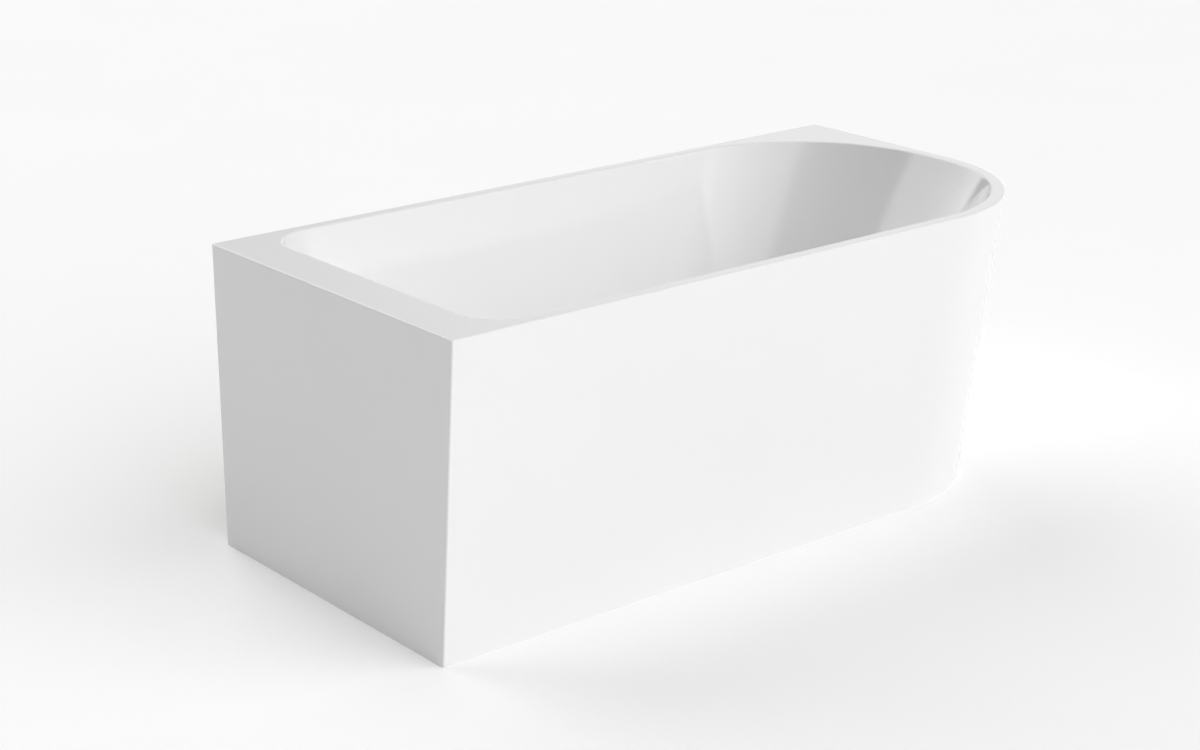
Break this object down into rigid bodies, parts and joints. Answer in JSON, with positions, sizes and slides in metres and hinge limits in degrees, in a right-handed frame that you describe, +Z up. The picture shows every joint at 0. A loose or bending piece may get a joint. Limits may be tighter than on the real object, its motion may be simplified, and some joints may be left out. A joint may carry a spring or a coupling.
{
  "type": "back-to-wall freestanding bathtub",
  "caption": "Freestanding bath with flat back and left end, one large rounded corner, leaning skirt, levelling feet, click waste, overflow and swivel trap.",
  "frame": {"origin": "on the floor, under the centre of the bounding box", "axes": "+X along the bath towards the rounded end, +Y towards the wall behind it, +Z up"},
  "size_m": [1.55, 0.75, 0.6],
  "materials": {
    "white_acrylic": "gloss",
    "adhesive": "matte",
    "board": "matte",
    "galvanised_steel": "satin",
    "zinc_plated": "satin",
    "black_plastic": "matte",
    "rubber_seal": "matte",
    "chrome_trim": "polished",
    "brass_stem": "satin",
    "white_plastic": "satin",
    "grey_hose": "satin"
  },
  "bodies": {
    "bath": {"back_rail": "galvanised_steel", "back_upright_1": "galvanised_steel", "back_upright_2": "galvanised_steel", "back_upright_3": "galvanised_steel", "base_board": "board", "basin": "white_acrylic", "board_screws": "zinc_plated", "bracket_screws": "zinc_plated", "cartridge_spring": "zinc_plated", "click_cartridge": "white_plastic", "cross_bar_1": "galvanised_steel", "cross_bar_2": "galvanised_steel", "cross_bar_3": "galvanised_steel", "front_rail": "galvanised_steel", "hose_nuts": "white_plastic", "jam_nuts": "zinc_plated", "ledge_board": "board", "left_end_bar": "galvanised_steel", "overflow_body": "white_plastic", "overflow_cover": "chrome_trim", "overflow_gasket": "rubber_seal", "overflow_hose": "grey_hose", "overflow_screw": "zinc_plated", "rim_bond": "adhesive", "skirt": "white_acrylic", "skirt_brackets": "galvanised_steel", "trap_gasket": "rubber_seal", "trap_nut": "white_plastic", "tube_end_caps": "black_plastic", "upright_pads": "rubber_seal", "waste_body": "white_plastic", "waste_flange": "chrome_trim", "waste_seal_lower": "rubber_seal", "waste_seal_upper": "rubber_seal", "weld_nuts": "zinc_plated"},
    "plug": {"plug_cap": "chrome_trim", "plug_seal": "rubber_seal", "plug_stem": "brass_stem"},
    "trap": {"trap_body": "white_plastic", "trap_clean_out": "white_plastic", "trap_outlet_seal": "rubber_seal", "trap_outlet_nut": "white_plastic", "trap_outlet_pipe": "white_plastic"},
    "pad_1": {"foot_pad_1": "black_plastic"},
    "stem_1": {"foot_stem_1": "zinc_plated"},
    "pad_2": {"foot_pad_2": "black_plastic"},
    "stem_2": {"foot_stem_2": "zinc_plated"},
    "pad_3": {"foot_pad_3": "black_plastic"},
    "stem_3": {"foot_stem_3": "zinc_plated"},
    "pad_4": {"foot_pad_4": "black_plastic"},
    "stem_4": {"foot_stem_4": "zinc_plated"},
    "pad_5": {"foot_pad_5": "black_plastic"},
    "stem_5": {"foot_stem_5": "zinc_plated"}
  },
  "joints": [
    {"name": "plug_lift", "type": "slide", "parent": "bath", "child": "plug", "axis": [0, 0, 1], "range_m": [0, 0.009], "deforming": ["cartridge_spring"]},
    {"name": "trap_swivel", "type": "hinge", "parent": "bath", "child": "trap", "pos_m": [-0.4295, 0, 0.06], "axis": [0, 0, 1], "range_deg": [-90, 90]},
    {"name": "foot_1_height", "type": "slide", "parent": "bath", "child": "pad_1", "axis": [0, 0, -1], "range_m": [0, 0.021]},
    {"name": "foot_1_turn", "type": "hinge", "parent": "pad_1", "child": "stem_1", "pos_m": [-0.3095, -0.24291, 0.08], "axis": [0, 0, -1], "range_deg": [0, 4321]},
    {"name": "foot_2_height", "type": "slide", "parent": "bath", "child": "pad_2", "axis": [0, 0, -1], "range_m": [0, 0.021]},
    {"name": "foot_2_turn", "type": "hinge", "parent": "pad_2", "child": "stem_2", "pos_m": [-0.3095, 0.319, 0.08], "axis": [0, 0, -1], "range_deg": [0, 4321]},
    {"name": "foot_3_height", "type": "slide", "parent": "bath", "child": "pad_3", "axis": [0, 0, -1], "range_m": [0, 0.021]},
    {"name": "foot_3_turn", "type": "hinge", "parent": "pad_3", "child": "stem_3", "pos_m": [0.33033, -0.24291, 0.08], "axis": [0, 0, -1], "range_deg": [0, 4321]},
    {"name": "foot_4_height", "type": "slide", "parent": "bath", "child": "pad_4", "axis": [0, 0, -1], "range_m": [0, 0.021]},
    {"name": "foot_4_turn", "type": "hinge", "parent": "pad_4", "child": "stem_4", "pos_m": [0.33033, 0.319, 0.08], "axis": [0, 0, -1], "range_deg": [0, 4321]},
    {"name": "foot_5_height", "type": "slide", "parent": "bath", "child": "pad_5", "axis": [0, 0, -1], "range_m": [0, 0.021]},
    {"name": "foot_5_turn", "type": "hinge", "parent": "pad_5", "child": "stem_5", "pos_m": [0.01041, 0, 0.08], "axis": [0, 0, -1], "range_deg": [0, 4321]}
  ],
  "couplings": [
    {"joint": "foot_1_turn", "follows": "foot_1_height", "rad_per_m": 3590.4},
    {"joint": "foot_2_turn", "follows": "foot_2_height", "rad_per_m": 3590.4},
    {"joint": "foot_3_turn", "follows": "foot_3_height", "rad_per_m": 3590.4},
    {"joint": "foot_4_turn", "follows": "foot_4_height", "rad_per_m": 3590.4},
    {"joint": "foot_5_turn", "follows": "foot_5_height", "rad_per_m": 3590.4}
  ]
}
